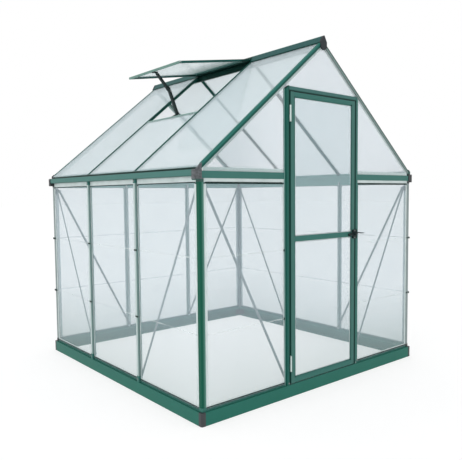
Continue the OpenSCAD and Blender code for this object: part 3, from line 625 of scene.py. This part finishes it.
# ---- Glazing trims, seals and clips ----
# Pale plastic trims and black rubber seals hold the edges of each wall sheet in its bay.
# Clear strips join the sheets, and black clips press each joint against its upright.
boxes = Pattern("box_strips")
boxes.close(boxes.node("GeometryNodeInstanceOnPoints", None, {
    "Points": boxes.size("Geometry"),
    "Instance": boxes.node("GeometryNodeMeshCube", None, {"Size": (1, 1, 1)}),
    "Scale": boxes.mark("stretch"),
    "Rotation": boxes.node("FunctionNodeEulerToRotation", None, {0: boxes.mark("turned")}),
}))


def strips(rows):
    """A seed mesh of strips: two opposite corners in millimetres and any turn about Y."""
    middles, stretches, turns = [], [], []
    for first, second, *turned in rows:
        first, second = Vector(first) / 1000, Vector(second) / 1000
        middles.append((first + second) / 2)
        stretches.extend(abs(c) for c in second - first)
        turns.extend((0, turned[0] if turned else 0, 0))
    seed = bpy.data.meshes.new("strips")
    seed.from_pydata(middles, [], [])
    for label, values in (("stretch", stretches), ("turned", turns)):
        seed.attributes.new(label, "FLOAT_VECTOR", "POINT").data.foreach_set("vector", values)
    return seed


def on_wall(side, near, far, low, high, out, depth):
    """A strip on one wall: its span along it, its span of height, outer face and depth."""
    way = -1 if side in ("left", "front") else 1
    outer, inner = way * out, way * (out - depth)
    if side in ("left", "right"):
        return (outer, near, low), (inner, far, high)
    return (near, outer, low), (far, inner, high)


trim_finish = Finish("pale_glazing_trim")
trim_haze = trim_finish.noise(14.0, 3.0)
trim_finish.set({
    "Base Color": trim_finish.mix(trim_haze, (0.52, 0.62, 0.61), (0.68, 0.76, 0.76)),
    "Roughness": 0.25 + 0.1 * trim_haze,
    "Alpha": 0.62 + 0.2 * trim_haze,
})
pale_trim = trim_finish.material
joint_finish = Finish("clear_joint_strip")
joint_haze = joint_finish.noise(9.0, 4.0)
joint_finish.set({
    "Base Color": joint_finish.mix(joint_haze, (0.62, 0.74, 0.74), (0.82, 0.88, 0.88)),
    "Roughness": 0.15 + 0.1 * joint_haze,
    "Alpha": 0.75 * joint_haze - 0.12,
})
black_rubber = moulded("black_rubber_seal", (0.008, 0.027, 0.024), (0.005, 0.019, 0.017), 0.5)

# Each wall's bays run between its uprights; the last number is its outer face.
side_bays = ((-889, -318), (-288, 288), (318, 889))
walls = {
    "left": (side_bays, 910.4),
    "right": (side_bays, 910.4),
    "back": (((-884, -318), (-288, 288), (318, 884)), 915.4),
    "front": (((-884, -326), (326, 884)), 915.4),
}
seal_depth, trim_depth, edge_trim_depth = 1.2, 1.0, 0.8
foot_seal, foot_trim = (84.5, 89.5), (90, 96)
upper_trim_foot = 1226
upper_seal_head = upper_trim_foot + 1
edge_trim = (88, upper_trim_foot - 10)
seal_bend, bend_step, bend_drop = 12, 3, 2.2
joint_heights, joint_half = (458.6, 846.6), 3
trims, seals, joints = [], [], []
for side, (bays, out) in walls.items():
    upper_trim_head = 1254 if side in ("left", "right") else 1244
    seal_foot = upper_seal_head - (11 if side == "front" else 6)
    for near, far in bays:
        trims.append(on_wall(side, near, far, upper_trim_foot, upper_trim_head, out, trim_depth))
        seals.append(on_wall(
            side, near + seal_bend, far - seal_bend, seal_foot, upper_seal_head, out, seal_depth
        ))
        seals.append(on_wall(side, near, far, *foot_seal, out, seal_depth))
        trims.append(on_wall(side, near, far, *foot_trim, out, trim_depth))
        for edge, inward in ((near, 1), (far, -1)):
            # The trim is wider beside a corner post than beside a stud or a jamb.
            trim_end = edge + inward * (15 if abs(edge) > 800 else 6)
            trims.append(on_wall(side, edge, trim_end, *edge_trim, out, edge_trim_depth))
            # The upper seal rounds down to the upright in four short steps.
            for step in range(4):
                start = edge + inward * (seal_bend - bend_step * step)
                end = start - inward * bend_step
                foot = upper_trim_foot - 9 - bend_drop * step
                seals.append(on_wall(side, start, end, foot, foot + 8, out, seal_depth))
        for height in joint_heights:
            low, high = height - joint_half, height + joint_half
            joints.append(on_wall(side, near, far, low, high, out, trim_depth))
boxes.make("glazing_trims", "greenhouse", pale_trim, strips(trims))
boxes.make("glazing_seals", "greenhouse", black_rubber, strips(seals))
boxes.make("sheet_joint_strips", "greenhouse", joint_finish.material, strips(joints))


def clip(height, half, across, along):
    """A clip on a sheet joint, by its spans across the building and along it."""
    return (across[0], along[0], height - half), (across[1], along[1], height + half)


post_line = 904
stud_clip_half, post_clip_half = 12.5, 17
clips = []
for height in joint_heights:
    for way in (-1, 1):
        # Each side has one over both of its studs.
        for y in (-stud_line, stud_line):
            along = (y - stud_clip_half, y + stud_clip_half)
            clips.append(clip(height, 5, (way * 919, way * 924.4), along))
        # The corner posts have wider ones, apart from the front left post, which has none.
        for y in (post_line, -post_line):
            if way > 0 or y > 0:
                along = (y - post_clip_half, y + post_clip_half)
                clips.append(clip(height, 6, (way * 911, way * 918), along))
        # On the gable there is one beside each jamb, and one on the right corner post.
        if way > 0:
            clips.append(clip(height, 5, (886, 898), (-918.4, -916)))
        clips.append(clip(height, 6, (way * 325.2, way * 331), (-920, -914)))
boxes.make("sheet_clips", "greenhouse", black_rubber, strips(clips))

# ---- Roof flutes ----
# The thin inner walls of the twin-wall sheets run down the slope, extruded with the
# sheet at an even spacing. Under the vent they start below its sill.
flute_gap, flute_thickness, flute_depth = 10, 0.5, 3.2
sheet_head, vent_foot, sheet_foot = 10, 458, 910
sheet_middle = 4.6
flutes = []
for way in (-1, 1):
    for start, end in ((-904, -311), (-295, 295), (311, 904)):
        vented = way < 0 and start == -295
        top = vent_foot if vented else sheet_head
        middle = (top + sheet_foot) / 2
        length = (sheet_foot - top) / math.cos(pitch)
        level = ridge_height - middle * math.tan(pitch) - sheet_middle / math.cos(pitch)
        count = round((end - start) / flute_gap)
        for step in range(count + 1):
            y = start + (end - start) * step / count
            flutes.append((
                (way * middle - length / 2, y - flute_thickness / 2, level - flute_depth / 2),
                (way * middle + length / 2, y + flute_thickness / 2, level + flute_depth / 2),
                way * pitch,
            ))
flute_finish = Finish("flute_wall")
flute_tone = flute_finish.noise(20.0, 2.0)
flute_finish.set({
    "Base Color": flute_finish.mix(flute_tone, (0.55, 0.64, 0.66), (0.72, 0.80, 0.82)),
    "Roughness": 0.3 + 0.1 * flute_tone,
    "Alpha": 0.22 + 0.1 * flute_tone,
})
boxes.make("roof_flutes", "greenhouse", flute_finish.material, strips(flutes))

# ---- Roof vent ----
# A light framed sheet hinged under the ridge, coated green like the roof bars.
# A black moulded stay with two arms holds it open from the sill.
lower_bar, hinge_end = -0.5790, -0.10
vent_coat = powder_coat(
    "vent_frame_coat", (0.012, 0.076, 0.065), (0.009, 0.063, 0.054),
    # Its lower bar is paler, and painted shade darkens its hinge end under the ridge.
    (lambda f: (f.x < lower_bar) * 0.9, (0.145, 0.255, 0.22)),
    (lambda f: (f.x > hinge_end) * 0.9, (0.002, 0.028, 0.022)),
)
sill_coat = powder_coat("vent_sill_coat", (0.24, 0.38, 0.34), (0.18, 0.31, 0.28))
black_plastic = moulded("black_moulded_plastic", (0.014, 0.026, 0.026), (0.009, 0.018, 0.018), 0.38)
dress(vent_coat, "vent_side_bars", "vent_end_bars")
dress(sill_coat, "vent_sill")
dress(black_plastic, "vent_stay")

vent_lean, upper_lean, lower_lean, link_lean = -0.1624, 0.815, 1.187, -0.5
stay_fittings = [
    # The plate under the vent's lower bar, and the plate on the sill.
    ((-593, -14, 1950), (-562, 14, 1956), vent_lean),
    ((-456, -17, 1670), (-424, 17, 1678), -pitch),
    # The upper arm, the block at its elbow, and the lower arm.
    ((-584, -9, 1890), (-448, 9, 1904), upper_lean),
    ((-492, -11, 1852), (-468, 11, 1872), upper_lean),
    ((-515, -10, 1763), (-359, 10, 1778), lower_lean),
]
# Two cheeks link the lower arm to the plate on the sill.
for way in (-1, 1):
    stay_fittings.append(
        ((-458, way * 11 - 1.5, 1677), (-398, way * 11 + 1.5, 1693), link_lean)
    )
boxes.make("stay_fittings", "greenhouse", black_plastic, strips(stay_fittings))
# Pins at the pivots: the vent plate, the elbow, the link and the sill plate.
pivots = ((-564.8, 9.4, 1949.1), (-467.1, 10.8, 1845.1), (-407, 12.9, 1696.5), (-440, 12.9, 1678))
stay_pins = [((x, way * out, z), (0, way, 0)) for way in (-1, 1) for x, out, z in pivots]
heads.make(
    "stay_pins", "greenhouse", screw_metal, spots(stay_pins),
    Sides=14, Radius=0.0032, Height=0.002,
)

# ---- Door ----
# A green framed leaf with two clear sheets and a mid rail, hung on two bright hinges.
# A dark lock case is screwed to its free stile, and the lever turns on it.
stile_edge = 0.2835
door_coat = powder_coat(
    "door_coat", (0.050, 0.148, 0.128), (0.040, 0.127, 0.109),
    # Painted shade darkens the stiles' outer edges in the gap beside the jambs.
    (lambda f: (abs(f.x) > stile_edge) * 0.95, gap_shade_green),
)
dress(door_coat, "door_stiles")
dress(green_bars, "door_rails")
dress(black_plastic, "lock_case", "door_keeper", "door_lever")

# A rubber seal fills the gap round the doorway, down the lock side and over the top.
gap_front, gap_back = -928.2, -912
frame_seals = [
    ((290, gap_front, 78), (293.2, gap_back, 1728)),
    ((-288, gap_front, 1729.4), (288, gap_back, 1735)),
]
boxes.make("frame_seals", "greenhouse", black_rubber, strips(frame_seals))

# Each pane sits behind a green lip of the frame, a rubber seal and a pale trim. Along the
# mid rail the lip and the trim narrow to a share of their width elsewhere.
# Each pane has its foot, its head, and the share of the rim's width at each.
pane_edge = 256
mid_rail_share = 0.4
panes = ((106, 894, 1, mid_rail_share), (920, 1704.8, mid_rail_share, 1))


def pane_rim(near, far, front, back, narrowed=True):
    """Strips round each pane, from one distance inside its edge to another."""
    rows = []
    for low, high, foot_share, head_share in panes:
        for x, inward in ((-pane_edge, 1), (pane_edge, -1)):
            rows.append(((x + inward * near, front, low), (x + inward * far, back, high)))
        shares = (foot_share, -head_share) if narrowed else (1, -1)
        for z, inward in zip((low, high), shares):
            rows.append((
                (-pane_edge, front, z + inward * near), (pane_edge, back, z + inward * far)
            ))
    return strips(rows)


boxes.make("pane_seals", "door", black_rubber, pane_rim(6.2, 7.4, -927.2, -926.2, narrowed=False))
boxes.make("pane_lips", "door", green_bars, pane_rim(0, 7, -926.8, -924.6))
boxes.make("pane_trims", "door", pale_trim, pane_rim(7, 12, -925.4, -924.6))
# A thin green lip beside the lock jamb covers the edge of the gable's wall sheets.
jamb_lips = [((324, -921, 78), (330, -918.5, 1222))]
boxes.make("jamb_lips", "greenhouse", green_bars, strips(jamb_lips))

jamb_face, lock_face = -929.8, -941.6
foot_screws = [((x, jamb_face, z), (0, -1, 0)) for x, z in ((303, 82), (312, 96), (-303, 82))]
heads.make(
    "jamb_foot_screws", "greenhouse", screw_metal, spots(foot_screws),
    Radius=0.0034, Height=0.0022,
)
lock_screws = [((x, lock_face, z), (0, -1, 0)) for x in (232, 273.5) for z in (885.5, 928.5)]
heads.make(
    "lock_screws", "door", screw_metal, spots(lock_screws),
    Sides=14, Radius=0.0026, Height=0.0014,
)
